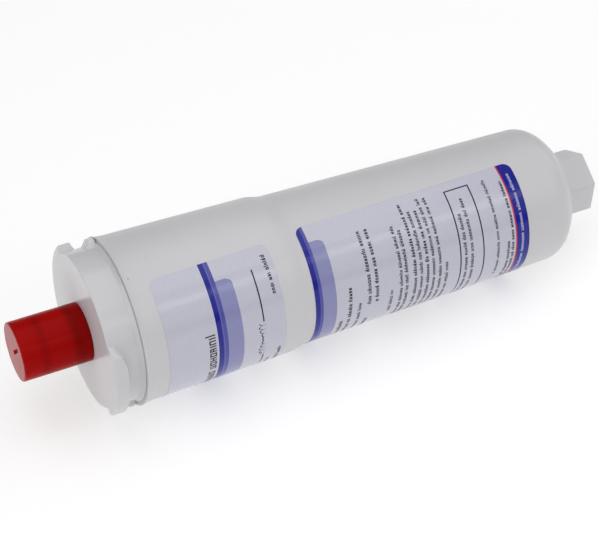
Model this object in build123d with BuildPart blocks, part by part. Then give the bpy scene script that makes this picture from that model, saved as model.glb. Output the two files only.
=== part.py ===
from build123d import *
from math import cos, degrees, radians, sin
import os

# Inline cartridge water filter, lying with its axis along X.
# Origin: centre of the threaded port's mouth, in the flat end of the hex boss.
# +X points out of that port, -X towards the push-in stem and its shipping cap, +Z is up.
# Stations along the axis are X values in millimetres. A clock angle starts at +Z and
# turns towards -Y.

# ---------------------------------------------------------------- driving dimensions
overall_length = 254.0      # head face to port mouth
body_radius = 38.0          # moulded bell, measured at the seam
draft = 0.0215              # radius lost per millimetre of length, both sections
wall = 2.8                  # housing wall
head_height = 14.6          # head face to seam
seam_gap = 0.4              # open groove between head and housing rim

# housing, stations from the port mouth
face_x = -overall_length
seam_x = face_x + head_height
bell_end_x = seam_x + 72.5
rear_start_x = seam_x + 81.2
rear_end_x = seam_x + 208.5
rear_radius = 36.62         # rear section's draft line carried back to the seam
rim_bulge = 0.8             # flared rim stands this far out of the bell
rim_edge = 0.4
rim_fade = 6.5              # flare runs out this far from the rim's front face
rim_slope = 0.5             # its fall per millimetre right behind the edge
dome_corner = 12.3
dome_crown = 41.5
corner_mid_angle = 35.0     # middle points of the dome's arcs
crown_mid_angle = 15.0
inner_crown_mid_angle = 26.0
ledge_relief = 0.8          # wall is thinner at the ledge that the head is welded to
hex_across_flats = 27.25
hex_clock = 4.2
hex_edge = 0.5
hex_root = 5.0              # hex starts this far inside the dome's crown

# port and outlet socket
port_radius = 8.3           # wall at the thread roots, 3/8 inch pipe class
port_depth = 15.0
passage_radius = 4.5
socket_radius = 8.25
socket_wall = 3.2
socket_depth = 11.0
socket_floor = 2.5

# head
collar_radius = 35.4
ring_radius = 36.7          # weld ring next to the seam
ring_width = 1.8
ring_crest = 0.3            # flat top of its sloped front, next to the seam
ring_edge = 0.2
edge_round = 0.7
spigot_length = 8.0
spigot_wall = 3.0
spigot_clearance = 0.1
face_thickness = 4.0
inner_draft = 1.0           # head's bore narrows by this much towards its face

# bayonet lugs on the head, clock angles
lug_radius = 39.2
lug_width = 6.0
lug_flank = 1.4
lug_nose = 1.5              # rounding of the lugs' front edge
lug_ramp_start = 63.5
lug_ramp_end = 71.0
lug_end = 135.0
lug_lead_in = ((0.9, 62.5), (2.6, 67.5), (4.5, 71.8), (5.4, 76.3), (6.1, 83.0))  # width, clock
stop_radius = 38.7
stop_from = 5.9             # from the seam towards the face
stop_to = 0.6
stop_flank = 2.4
stop_start = -38.0
stop_end = -22.0
stop_ramp = 5.0
lug_root = 33.0             # lugs run into the collar down to this radius

# stem
stem_radius = 11.0
stem_bore = 6.5
stem_length = 26.6
stem_chamfer = 1.2
ring_stations = (5.9, 21.2)  # O-rings, distance out from the head face
o_ring_section = 0.9         # radius of the cord
o_ring_outer = 11.72
groove_width = 2.4
groove_slack = 0.05          # groove floor under the O-ring

# shipping cap
cap_radius = 13.45
cap_length = 31.6
cap_wall = 1.6
cap_floor = 1.8
cap_gap = 0.1               # cap's open end clears the head face
cap_edge = 0.9
cap_mouth_edge = 0.4

# labels
label_thickness = 0.12
label_lift = 0.02
label_width = 127.0         # round the wall, both labels
front_label_from = 10.4     # from the seam
front_label_to = 66.0
front_label_clock = 27.5    # upper long edge
rear_label_from = 81.6
rear_label_to = 192.3
rear_label_clock = 18.8
label_corner = 3.8

# element
block_radius = 25.4
block_bore = 8.8
wrap_thickness = 0.8
net_thickness = 0.6
layer_gap = 0.1
core_radius = 8.0
core_wall = 1.2
core_hole = 1.5
core_rows = 12
core_holes_per_row = 4
element_front = 14.0        # element, stations from the seam
element_back = 206.0
cap_disc = 2.5
potting = 2.0
skirt_length = 6.0
skirt_wall = 1.2
skirt_radius = 28.3
centring_ribs = 4
rib_reach = 34.0
rib_thickness = 2.0
nipple_radius = 7.9
nipple_length = 14.5
nipple_ring_stations = (7.0, 11.0)
nipple_ring_outer = 8.2
gasket_inner = 14.0
gasket_outer = 26.0
gasket_thickness = 3.0
load_ribs = 6
load_rib_thickness = 2.0

overcut = 1.0               # cutting bodies run past the faces they cut by this much

# ---------------------------------------------------------------- worked out
wrap_inner = block_radius + layer_gap
wrap_outer = wrap_inner + wrap_thickness
net_inner = wrap_outer + layer_gap
net_outer = net_inner + net_thickness
core_wrap_inner = core_radius + layer_gap
core_wrap_outer = block_bore - layer_gap


def bell_radius(x):
    """Outside of the wide section at station x."""
    return body_radius - draft * (x - seam_x)


def rear_section_radius(x):
    """Outside of the narrow section at station x."""
    return rear_radius - draft * (x - seam_x)


def clock(radius, angle):
    """Point in a YZ plane sketch at a radius and a clock angle."""
    return (-radius * sin(radians(angle)), radius * cos(radians(angle)))


def crown_centre(corner_x, corner_r, corner, crown):
    """Station of the crown's centre, so that crown and corner arcs are tangent."""
    return corner_x - ((crown - corner) ** 2 - corner_r ** 2) ** 0.5


def crown_contact(corner_x, corner_r, centre_x, crown):
    """Point where the crown arc takes over from the corner arc."""
    length = ((corner_x - centre_x) ** 2 + corner_r ** 2) ** 0.5
    return (centre_x + (corner_x - centre_x) * crown / length, corner_r * crown / length)


os.makedirs("parts", exist_ok=True)

# ---------------------------------------------------------------- housing
# Outer corner and crown of the domed end.
corner_r = rear_section_radius(rear_end_x) - dome_corner
crown_x = crown_centre(rear_end_x, corner_r, dome_corner, dome_crown)
dome_join = crown_contact(rear_end_x, corner_r, crown_x, dome_crown)
dome_apex = crown_x + dome_crown
corner_mid = (
    rear_end_x + dome_corner * sin(radians(corner_mid_angle)),
    corner_r + dome_corner * cos(radians(corner_mid_angle)),
)
crown_mid = (
    crown_x + dome_crown * cos(radians(crown_mid_angle)),
    dome_crown * sin(radians(crown_mid_angle)),
)

# The same two arcs one wall thickness inside.
inner_join = crown_contact(rear_end_x, corner_r, crown_x, dome_crown - wall)
inner_corner = dome_corner - wall
inner_mid = (
    rear_end_x + inner_corner * sin(radians(corner_mid_angle)),
    corner_r + inner_corner * cos(radians(corner_mid_angle)),
)
inner_crown = dome_crown - wall
socket_outer = socket_radius + socket_wall
socket_root_x = crown_x + (inner_crown ** 2 - socket_outer ** 2) ** 0.5
inner_crown_mid = (
    crown_x + inner_crown * cos(radians(inner_crown_mid_angle)),
    inner_crown * sin(radians(inner_crown_mid_angle)),
)

rim_x = seam_x + seam_gap
rim_radius = bell_radius(rim_x) + rim_bulge
rim_fade_x = rim_x + rim_fade
bore_at_rim = collar_radius - 0.4
ledge_x = seam_x + spigot_length
ledge_radius = bell_radius(ledge_x) - wall - ledge_relief
passage_start_x = -port_depth
socket_floor_x = passage_start_x - socket_floor
socket_mouth_x = socket_floor_x - socket_depth

with BuildPart() as housing:
    with BuildSketch(Plane.XY):
        with BuildLine():
            Line((rim_x, bore_at_rim), (rim_x, rim_radius - rim_edge))
            Line((rim_x, rim_radius - rim_edge), (rim_x + rim_edge, rim_radius))
            Spline(
                (rim_x + rim_edge, rim_radius), (rim_fade_x, bell_radius(rim_fade_x)),
                tangents=((1, -rim_slope), (1, -draft)),
            )
            Line((rim_fade_x, bell_radius(rim_fade_x)), (bell_end_x, bell_radius(bell_end_x)))
            Spline(
                (bell_end_x, bell_radius(bell_end_x)),
                (rear_start_x, rear_section_radius(rear_start_x)),
                tangents=((1, -draft), (1, -draft)),
            )
            Line(
                (rear_start_x, rear_section_radius(rear_start_x)),
                (rear_end_x, rear_section_radius(rear_end_x)),
            )
            ThreePointArc((rear_end_x, rear_section_radius(rear_end_x)), corner_mid, dome_join)
            ThreePointArc(dome_join, crown_mid, (dome_apex, 0))
            Line((dome_apex, 0), (socket_floor_x, 0))
            Line((socket_floor_x, 0), (socket_floor_x, socket_radius))
            Line((socket_floor_x, socket_radius), (socket_mouth_x, socket_radius))
            Line((socket_mouth_x, socket_radius), (socket_mouth_x, socket_outer))
            Line((socket_mouth_x, socket_outer), (socket_root_x, socket_outer))
            ThreePointArc((socket_root_x, socket_outer), inner_crown_mid, inner_join)
            ThreePointArc(inner_join, inner_mid, (rear_end_x, corner_r + inner_corner))
            Line(
                (rear_end_x, corner_r + inner_corner),
                (rear_start_x, rear_section_radius(rear_start_x) - wall),
            )
            Spline(
                (rear_start_x, rear_section_radius(rear_start_x) - wall),
                (bell_end_x, bell_radius(bell_end_x) - wall),
                tangents=((-1, draft), (-1, draft)),
            )
            Line((bell_end_x, bell_radius(bell_end_x) - wall), (ledge_x, ledge_radius))
            Line((ledge_x, ledge_radius), (ledge_x, bore_at_rim))
            Line((ledge_x, bore_at_rim), (rim_x, bore_at_rim))
        make_face()
    revolve(axis=Axis.X)
    # Hex boss, from inside the dome's crown to the port mouth.
    with BuildSketch(Plane.YZ.offset(dome_apex - hex_root)):
        RegularPolygon(
            radius=hex_across_flats / 2, side_count=6, major_radius=False, rotation=90 + hex_clock,
        )
    extrude(amount=hex_root - dome_apex)
    fillet(housing.edges().filter_by(Axis.X).filter_by(lambda edge: edge.length < 20), radius=hex_edge)
    chamfer(housing.faces().sort_by(Axis.X)[-1].outer_wire().edges(), length=hex_edge)
    # Port, then the passage into the outlet socket.
    with BuildSketch(Plane.YZ):
        Circle(port_radius)
    extrude(amount=-port_depth, mode=Mode.SUBTRACT)
    with BuildSketch(Plane.YZ.offset(passage_start_x)):
        Circle(passage_radius)
    extrude(amount=-(socket_floor + overcut), mode=Mode.SUBTRACT)
housing.part.label = "housing"
export_step(housing.part, "parts/housing.step")

# ---------------------------------------------------------------- head
# Sectors for two bayonet lugs and two stop blocks, each pair half a turn apart,
# trimmed to their flanks by a revolved envelope.
with BuildPart() as bayonet_lugs:
    for half_turn in (0, 180):
        with BuildSketch(Plane.YZ.offset(face_x)):
            with BuildLine():
                start = lug_ramp_start + half_turn
                full = lug_ramp_end + half_turn
                stop = lug_end + half_turn
                Line(clock(lug_root, start), clock(collar_radius, start))
                Line(clock(collar_radius, start), clock(lug_radius, full))
                ThreePointArc(
                    clock(lug_radius, full),
                    clock(lug_radius, (full + stop) / 2),
                    clock(lug_radius, stop),
                )
                Line(clock(lug_radius, stop), clock(lug_root, stop))
                ThreePointArc(
                    clock(lug_root, stop),
                    clock(lug_root, (start + stop) / 2),
                    clock(lug_root, start),
                )
            make_face()
        extrude(amount=lug_width + lug_flank)
    with BuildSketch(Plane.XY):
        with BuildLine():
            Line((face_x, 0), (face_x, lug_radius - lug_nose))
            JernArc(
                start=(face_x, lug_radius - lug_nose), tangent=(0, 1), radius=lug_nose, arc_size=-90,
            )
            Polyline(
                (face_x + lug_nose, lug_radius),
                (face_x + lug_width - edge_round / 2, lug_radius),
                (face_x + lug_width, lug_radius - edge_round / 2),
                (face_x + lug_width + lug_flank, collar_radius),
                (face_x + lug_width + lug_flank, 0),
                (face_x, 0),
            )
        make_face()
    revolve(axis=Axis.X, mode=Mode.INTERSECT)
    # Lead-in: behind each ramp the lug widens from a point to its full width.
    for half_turn in (0, 180):
        lead_clock = lug_ramp_end + half_turn
        lead_plane = Plane(
            origin=(face_x, *clock(lug_root, lead_clock)),
            x_dir=(1, 0, 0),
            z_dir=(0, *clock(1, lead_clock)),
        )
        lead_points = [
            (width, -lug_radius * sin(radians(angle - lug_ramp_end))) for width, angle in lug_lead_in
        ]
        behind_lug = lug_width + lug_flank + overcut
        with BuildSketch(lead_plane):
            with BuildLine():
                Polyline(
                    *lead_points,
                    (behind_lug, lead_points[-1][1]),
                    (behind_lug, lead_points[0][1]),
                    close=True,
                )
            make_face()
        extrude(amount=lug_radius - lug_root + overcut, mode=Mode.SUBTRACT)

with BuildPart() as stop_blocks:
    for half_turn in (0, 180):
        with BuildSketch(Plane.YZ.offset(seam_x - stop_from)):
            with BuildLine():
                start = stop_start + half_turn
                stop = stop_end + half_turn
                Polyline(
                    clock(lug_root, start),
                    clock(collar_radius, start),
                    clock(stop_radius, start + stop_ramp),
                    clock(stop_radius, (start + stop) / 2),
                    clock(stop_radius, stop - stop_ramp),
                    clock(collar_radius, stop),
                    clock(lug_root, stop),
                    close=True,
                )
            make_face()
        extrude(amount=stop_from - stop_to)
    with BuildSketch(Plane.XY):
        with BuildLine():
            Polyline(
                (seam_x - stop_from, 0),
                (seam_x - stop_from, collar_radius),
                (seam_x - stop_from + stop_flank, stop_radius),
                (seam_x - stop_to - ring_edge, stop_radius),
                (seam_x - stop_to, stop_radius - ring_edge),
                (seam_x - stop_to, 0),
                close=True,
            )
        make_face()
    revolve(axis=Axis.X, mode=Mode.INTERSECT)

stem_tip_x = face_x - stem_length
groove_radius = o_ring_outer - 2 * o_ring_section - groove_slack
spigot_radius = bore_at_rim - spigot_clearance

with BuildPart() as head_cap:
    with BuildSketch(Plane.XY):
        with BuildLine():
            Polyline(
                (stem_tip_x, stem_bore),
                (stem_tip_x, stem_radius - stem_chamfer),
                (stem_tip_x + stem_chamfer, stem_radius),
                (face_x, stem_radius),
                (face_x, collar_radius - edge_round),
                (face_x + edge_round, collar_radius),
                (seam_x - ring_width, collar_radius),
                (seam_x - ring_edge - ring_crest, ring_radius),
                (seam_x - ring_edge, ring_radius),
                (seam_x, ring_radius - ring_edge),
                (seam_x, spigot_radius),
                (ledge_x, spigot_radius),
                (ledge_x, spigot_radius - spigot_wall),
                (face_x + face_thickness, spigot_radius - spigot_wall - inner_draft),
                (face_x + face_thickness, stem_bore),
                close=True,
            )
        make_face()
    revolve(axis=Axis.X)
    add(bayonet_lugs.part)
    add(stop_blocks.part)
    # O-ring grooves in the stem.
    for station in ring_stations:
        with BuildSketch(Plane.YZ.offset(face_x - station - groove_width / 2)):
            Circle(stem_radius + overcut)
            Circle(groove_radius, mode=Mode.SUBTRACT)
        extrude(amount=groove_width, mode=Mode.SUBTRACT)
    # Ribs inside the head that hold the element's gasket down and let water past.
    with BuildSketch(Plane.YZ.offset(face_x + face_thickness)):
        with PolarLocations(radius=(gasket_inner + gasket_outer) / 2, count=load_ribs):
            Rectangle(gasket_outer - gasket_inner, load_rib_thickness)
    extrude(amount=seam_x + element_front - gasket_thickness - face_x - face_thickness)
head_cap.part.label = "head_cap"
export_step(head_cap.part, "parts/head_cap.step")

# ---------------------------------------------------------------- stem O-rings
for number, station in enumerate(ring_stations, start=1):
    with BuildPart() as stem_o_ring:
        with BuildSketch(Plane.XY):
            with Locations((face_x - station, o_ring_outer - o_ring_section)):
                Circle(o_ring_section)
        revolve(axis=Axis.X)
    stem_o_ring.part.label = f"stem_o_ring_{number}"
    export_step(stem_o_ring.part, f"parts/stem_o_ring_{number}.step")

# ---------------------------------------------------------------- shipping cap
cap_mouth_x = face_x - cap_gap
cap_end_x = cap_mouth_x - cap_length

with BuildPart() as shipping_cap:
    with BuildSketch(Plane.YZ.offset(cap_end_x)):
        Circle(cap_radius)
    extrude(amount=cap_length)
    fillet(shipping_cap.faces().sort_by(Axis.X)[0].edges(), radius=cap_edge)
    with BuildSketch(Plane.YZ.offset(cap_end_x + cap_floor)):
        Circle(cap_radius - cap_wall)
    extrude(amount=cap_length - cap_floor, mode=Mode.SUBTRACT)
    fillet(shipping_cap.faces().sort_by(Axis.X)[-1].outer_wire().edges(), radius=cap_mouth_edge)
shipping_cap.part.label = "shipping_cap"
export_step(shipping_cap.part, "parts/shipping_cap.step")

# ---------------------------------------------------------------- labels
# Each label is a thin shell that follows the tapered wall, cut to a rounded patch.


def label_shell(radius_from, radius_to, x_from, x_to, first_clock):
    """Thin curved patch between two stations, starting at a clock angle."""
    label_arc = degrees(2 * label_width / (radius_from + radius_to))
    inner_from = radius_from + label_lift
    inner_to = radius_to + label_lift
    first_tangent = (0, *clock(1, first_clock + 90))
    profile_plane = Plane(origin=(0, 0, 0), x_dir=(1, 0, 0), z_dir=first_tangent)
    with BuildPart() as shell:
        with BuildSketch(profile_plane):
            with BuildLine():
                Polyline(
                    (x_from, inner_from),
                    (x_from, inner_from + label_thickness),
                    (x_to, inner_to + label_thickness),
                    (x_to, inner_to),
                    close=True,
                )
            make_face()
        revolve(axis=Axis.X, revolution_arc=label_arc)
        # Round the four corners with cutters that point along the radius there.
        for x_corner, radius, inward_x in ((x_from, inner_from, 1), (x_to, inner_to, -1)):
            for angle, inward_y in ((first_clock, -1), (first_clock + label_arc, 1)):
                corner_plane = Plane(
                    origin=(x_corner, *clock(radius, angle)), x_dir=(1, 0, 0), z_dir=(0, *clock(1, angle)),
                )
                with BuildSketch(corner_plane):
                    with Locations((inward_x * label_corner / 4, inward_y * label_corner / 4)):
                        Rectangle(1.5 * label_corner, 1.5 * label_corner)
                    with Locations((inward_x * label_corner, inward_y * label_corner)):
                        Circle(label_corner, mode=Mode.SUBTRACT)
                extrude(amount=2 * overcut, both=True, mode=Mode.SUBTRACT)
    return shell.part


front_label = label_shell(
    bell_radius(seam_x + front_label_from), bell_radius(seam_x + front_label_to),
    seam_x + front_label_from, seam_x + front_label_to, front_label_clock,
)
front_label.label = "front_label"
export_step(front_label, "parts/front_label.step")

rear_label = label_shell(
    rear_section_radius(seam_x + rear_label_from), rear_section_radius(seam_x + rear_label_to),
    seam_x + rear_label_from, seam_x + rear_label_to, rear_label_clock,
)
rear_label.label = "rear_label"
export_step(rear_label, "parts/rear_label.step")

# ---------------------------------------------------------------- element
inlet_x = seam_x + element_front
outlet_x = seam_x + element_back
block_front_x = inlet_x + cap_disc + potting
block_back_x = outlet_x - cap_disc - potting
skirt_inner = skirt_radius - skirt_wall

with BuildPart() as inlet_end_cap:
    with BuildSketch(Plane.YZ.offset(inlet_x)):
        Circle(skirt_radius)
        with PolarLocations(radius=(skirt_inner + rib_reach) / 2, count=centring_ribs, start_angle=45):
            Rectangle(rib_reach - skirt_inner, rib_thickness)
    extrude(amount=cap_disc + skirt_length)
    with BuildSketch(Plane.YZ.offset(inlet_x + cap_disc)):
        Circle(skirt_inner)
    extrude(amount=skirt_length, mode=Mode.SUBTRACT)
    # Plug that closes the inlet end of the core tube.
    with BuildSketch(Plane.YZ.offset(inlet_x + cap_disc)):
        Circle(core_radius - core_wall - layer_gap)
    extrude(amount=potting + skirt_length)
inlet_end_cap.part.label = "inlet_end_cap"
export_step(inlet_end_cap.part, "parts/inlet_end_cap.step")

with BuildPart() as outlet_end_cap:
    with BuildSketch(Plane.YZ.offset(outlet_x)):
        Circle(skirt_radius)
    extrude(amount=-(cap_disc + skirt_length))
    with BuildSketch(Plane.YZ.offset(outlet_x - cap_disc)):
        Circle(skirt_inner)
    extrude(amount=-skirt_length, mode=Mode.SUBTRACT)
    with BuildSketch(Plane.YZ.offset(outlet_x)):
        Circle(nipple_radius)
    extrude(amount=nipple_length)
    for station in nipple_ring_stations:
        with BuildSketch(Plane.YZ.offset(outlet_x + station - groove_width / 2)):
            Circle(nipple_radius + overcut)
            Circle(nipple_ring_outer - 2 * o_ring_section - groove_slack, mode=Mode.SUBTRACT)
        extrude(amount=groove_width, mode=Mode.SUBTRACT)
    with BuildSketch(Plane.YZ.offset(outlet_x + nipple_length)):
        Circle(passage_radius)
    extrude(amount=-(nipple_length + cap_disc), mode=Mode.SUBTRACT)
outlet_end_cap.part.label = "outlet_end_cap"
export_step(outlet_end_cap.part, "parts/outlet_end_cap.step")

for number, station in enumerate(nipple_ring_stations, start=1):
    with BuildPart() as nipple_o_ring:
        with BuildSketch(Plane.XY):
            with Locations((outlet_x + station, nipple_ring_outer - o_ring_section)):
                Circle(o_ring_section)
        revolve(axis=Axis.X)
    nipple_o_ring.part.label = f"nipple_o_ring_{number}"
    export_step(nipple_o_ring.part, f"parts/nipple_o_ring_{number}.step")

with BuildPart() as carbon_block:
    with BuildSketch(Plane.YZ.offset(block_front_x)):
        Circle(block_radius)
        Circle(block_bore, mode=Mode.SUBTRACT)
    extrude(amount=block_back_x - block_front_x)
carbon_block.part.label = "carbon_block"
export_step(carbon_block.part, "parts/carbon_block.step")

core_pitch = (block_back_x - block_front_x) / core_rows

with BuildPart() as core_tube:
    with BuildSketch(Plane.YZ.offset(block_front_x)):
        Circle(core_radius)
        Circle(core_radius - core_wall, mode=Mode.SUBTRACT)
    extrude(amount=block_back_x - block_front_x)
    for row in range(core_rows):
        with Locations((block_front_x + core_pitch * (row + 0.5), 0, 0)):
            for turn in range(core_holes_per_row // 2):
                Cylinder(
                    core_hole, 2 * (core_radius + overcut),
                    rotation=(180 * turn / (core_holes_per_row // 2), 0, 0), mode=Mode.SUBTRACT,
                )
core_tube.part.label = "core_tube"
export_step(core_tube.part, "parts/core_tube.step")

with BuildPart() as core_wrap:
    with BuildSketch(Plane.YZ.offset(block_front_x)):
        Circle(core_wrap_outer)
        Circle(core_wrap_inner, mode=Mode.SUBTRACT)
    extrude(amount=block_back_x - block_front_x)
core_wrap.part.label = "core_wrap"
export_step(core_wrap.part, "parts/core_wrap.step")

with BuildPart() as prefilter_wrap:
    with BuildSketch(Plane.YZ.offset(block_front_x)):
        Circle(wrap_outer)
        Circle(wrap_inner, mode=Mode.SUBTRACT)
    extrude(amount=block_back_x - block_front_x)
prefilter_wrap.part.label = "prefilter_wrap"
export_step(prefilter_wrap.part, "parts/prefilter_wrap.step")

with BuildPart() as outer_netting:
    with BuildSketch(Plane.YZ.offset(block_front_x)):
        Circle(net_outer)
        Circle(net_inner, mode=Mode.SUBTRACT)
    extrude(amount=block_back_x - block_front_x)
outer_netting.part.label = "outer_netting"
export_step(outer_netting.part, "parts/outer_netting.step")

# Hot-melt beds between the block and its end caps.
with BuildPart() as inlet_potting:
    with BuildSketch(Plane.YZ.offset(inlet_x + cap_disc)):
        Circle(net_outer)
        Circle(core_radius - core_wall, mode=Mode.SUBTRACT)
    extrude(amount=potting)
inlet_potting.part.label = "inlet_potting"
export_step(inlet_potting.part, "parts/inlet_potting.step")

with BuildPart() as outlet_potting:
    with BuildSketch(Plane.YZ.offset(block_back_x)):
        Circle(net_outer)
        Circle(core_radius - core_wall, mode=Mode.SUBTRACT)
    extrude(amount=potting)
outlet_potting.part.label = "outlet_potting"
export_step(outlet_potting.part, "parts/outlet_potting.step")

with BuildPart() as element_gasket:
    with BuildSketch(Plane.YZ.offset(inlet_x - gasket_thickness)):
        Circle(gasket_outer)
        Circle(gasket_inner, mode=Mode.SUBTRACT)
    extrude(amount=gasket_thickness)
element_gasket.part.label = "element_gasket"
export_step(element_gasket.part, "parts/element_gasket.step")
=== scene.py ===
import bmesh
import bpy
import math
import random
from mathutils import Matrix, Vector


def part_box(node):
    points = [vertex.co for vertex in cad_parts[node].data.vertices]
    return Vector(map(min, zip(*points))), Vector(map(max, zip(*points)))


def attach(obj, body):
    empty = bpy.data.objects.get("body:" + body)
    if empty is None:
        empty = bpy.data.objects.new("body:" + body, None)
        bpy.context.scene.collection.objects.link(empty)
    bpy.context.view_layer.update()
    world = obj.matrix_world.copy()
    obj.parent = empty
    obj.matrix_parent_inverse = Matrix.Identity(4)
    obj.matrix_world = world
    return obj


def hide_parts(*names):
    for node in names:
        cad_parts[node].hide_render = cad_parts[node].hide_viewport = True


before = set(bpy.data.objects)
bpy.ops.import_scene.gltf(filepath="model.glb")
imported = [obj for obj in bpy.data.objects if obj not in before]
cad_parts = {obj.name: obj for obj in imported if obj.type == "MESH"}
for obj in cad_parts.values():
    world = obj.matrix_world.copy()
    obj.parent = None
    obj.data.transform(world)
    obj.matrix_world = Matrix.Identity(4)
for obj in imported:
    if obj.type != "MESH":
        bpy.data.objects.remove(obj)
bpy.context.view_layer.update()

# An inline water filter lying on its side. X runs along its axis: the red shipping cap is at
# the low end and the hex boss with its threaded port at X = 0. Lengths below are millimetres,
# and a clock angle starts at +Z and turns towards -Y, the side that faces the camera.
MM = 0.001
TAU = math.tau

# ---------------------------------------------------------------- places, from the frame
housing_low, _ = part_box("housing")
head_low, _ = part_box("head_cap")
cap_low, cap_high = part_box("shipping_cap")
SEAM_X = housing_low.x / MM - 0.4       # back edge of the head's weld ring
RIM_X = SEAM_X + 0.1                    # front face of the housing's rim, behind a thin groove
FACE_X = SEAM_X - 14.6                  # flat front face of the head
STEM_TIP_X = head_low.x / MM
CAP_END_X = cap_low.x / MM
CAP_MOUTH_X = cap_high.x / MM
CAP_RADIUS = (cap_high.z - cap_low.z) / 2 / MM

# ---------------------------------------------------------------- sizes
# Housing: lengths along the axis count from the seam, radii are outside.
BELL_RADIUS = 38.0                      # draft line of the bell, at the seam
REAR_RADIUS = 36.62                     # draft line of the rear section, at the seam
DRAFT = 0.0215
WALL = 2.8
BELL_END = 72.5
REAR_START = 81.2
REAR_END = 208.5
MOUTH_RADIUS = 35.0                     # bore at the rim
RIM_BULGE = 0.765                       # flare at the front edge
RIM_EDGE = 0.18                         # round on the flare
RIM_FADE = 6.4                          # where the flare has faded into the bell
DOME_CORNER = 12.3
DOME_CROWN = 41.5
CROWN_FOOT = 20.0                       # the crown gives way to the boss's fillet inside this
INNER_LEDGE = 8.2                       # step in the bore behind the spigot

# Hex boss and port: lengths count back from the port's mouth.
HEX_FLATS = 27.25
HEX_CLOCK = 4.2                         # turn of the hexagon, degrees
HEX_CORNER = 0.45
HEX_EDGE = 0.4
HEX_FILLET = 1.3
HEX_END_RING = 11.5                     # extra ring that keeps the flat end's faces even
PORT_ROOT = 8.28
PORT_CREST = 7.35
PORT_DEPTH = 14.8
THREAD_PITCH = 1.411
THREAD_STEPS = 110
THREAD_FADE = 1.6                       # run-in and run-out of the thread
PASSAGE = 4.5
SOCKET_FROM = 17.6
SOCKET_TO = 28.4
SOCKET_RADIUS = 8.25
SOCKET_WALL_RADIUS = 11.45

# Head: lug and stop lengths count back from the face, the spigot's from the seam.
COLLAR = 35.4
WELD_RING = 36.7
LUG_RADIUS = 39.18
LUG_WIDTH = 6.0
LUG_FLANK = 1.4
LUG_NOSE = 1.5
FACE_EDGE = 0.6
STOP_RADIUS = 38.68
SPIGOT_RADIUS = 34.9
SPIGOT_LENGTH = 8.0
STEM_RADIUS = 11.0
STEM_BORE = 6.5
STEM_TIP_ROUND = 1.2
STEM_FOOT_ROUND = 0.8
O_RING_STATIONS = (21.2, 5.9)           # out from the face
GROOVE_RADIUS = 9.87
GROOVE_HALF = 1.2
GROOVE_BREAK = 0.15                     # broken edges of the grooves

# Shipping cap.
CAP_WALL = 1.6
CAP_FLOOR = 1.8
CAP_EDGE = 0.6                          # round between the closed end and the side
CAP_LIP = 0.45                          # round at the open end
SLOT_LENGTH = 9.0                       # slot in the closed end, from its middle
SLOT_WIDTH = 0.9                        # half width at the surface
SLOT_DEPTH = 0.9


# ================================================================ mesh helpers
def place(x, radius, clock):
    """Point in metres from a station and radius in millimetres and a clock angle in radians."""
    return Vector((x * MM, -radius * MM * math.sin(clock), radius * MM * math.cos(clock)))


def finish_mesh(name, bm, sharp_degrees):
    """Object from a bmesh, smooth-shaded, with its hard edges kept."""
    bmesh.ops.remove_doubles(bm, verts=bm.verts, dist=1e-7)
    bmesh.ops.recalc_face_normals(bm, faces=bm.faces)
    mesh = bpy.data.meshes.new(name)
    bm.to_mesh(mesh)
    bm.free()
    mesh.shade_smooth()
    mesh.set_sharp_from_angle(angle=math.radians(sharp_degrees))
    piece = bpy.data.objects.new(name, mesh)
    bpy.context.scene.collection.objects.link(piece)
    return piece


def polar_loft(bm, rings, clocks):
    """Closed skin over rings about the X axis. A ring gives (station, radius) per clock angle."""
    columns = len(clocks)
    rows = []
    for ring in rings:
        rows.append([bm.verts.new(place(*ring[i], clocks[i])) for i in range(columns)])
    for row_a, row_b in zip(rows, rows[1:] + rows[:1]):
        for i in range(columns):
            k = (i + 1) % columns
            bm.faces.new((row_a[i], row_a[k], row_b[k], row_b[i]))


def round_ring(x, radius, columns):
    return [(x, radius)] * columns


def arc(centre_x, centre_r, radius, start, stop, steps):
    """Profile points on an arc. Angles in degrees from +X towards larger radius."""
    points = []
    for i in range(steps + 1):
        a = math.radians(start + (stop - start) * i / steps)
        points.append((centre_x + radius * math.cos(a), centre_r + radius * math.sin(a)))
    return points


def smooth(t):
    """Eases from 0 to 1."""
    t = min(1.0, max(0.0, t))
    return t * t * (3 - 2 * t)


def even_clocks(count, offset=0.0):
    return [offset + TAU * i / count for i in range(count)]


def lathe(name, profile, columns, sharp_degrees):
    """Closed profile of (station, radius) turned about the X axis."""
    bm = bmesh.new()
    polar_loft(bm, [round_ring(x, r, columns) for x, r in profile], even_clocks(columns))
    return finish_mesh(name, bm, sharp_degrees)


# ================================================================ materials
def node(tree, kind, **inputs):
    made = tree.nodes.new(kind)
    for key, value in inputs.items():
        made.inputs[key.replace("_", " ")].default_value = value
    return made


def principled(name, colour, **sockets):
    material = bpy.data.materials.new(name)
    material.use_nodes = True
    tree = material.node_tree
    shader = tree.nodes["Principled BSDF"]
    shader.inputs["Base Color"].default_value = (*colour, 1)
    for key, value in sockets.items():
        shader.inputs[key.replace("_", " ")].default_value = value
    return material, tree, shader


def object_space(tree):
    return tree.nodes.new("ShaderNodeTexCoord").outputs["Object"]


def noise(tree, vector, scale, detail=3.0, rough=0.5):
    made = node(tree, "ShaderNodeTexNoise", Scale=scale, Detail=detail, Roughness=rough)
    tree.links.new(vector, made.inputs["Vector"])
    return made.outputs["Fac"]


def ramp(tree, value, low, high):
    """Colour ramp between two (position, grey or colour) stops."""
    made = tree.nodes.new("ShaderNodeValToRGB")
    for element, (position, colour) in zip(made.color_ramp.elements, (low, high)):
        element.position = position
        element.color = (*colour, 1) if hasattr(colour, "__len__") else (colour, colour, colour, 1)
    tree.links.new(value, made.inputs["Fac"])
    return made.outputs["Color"]


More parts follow.
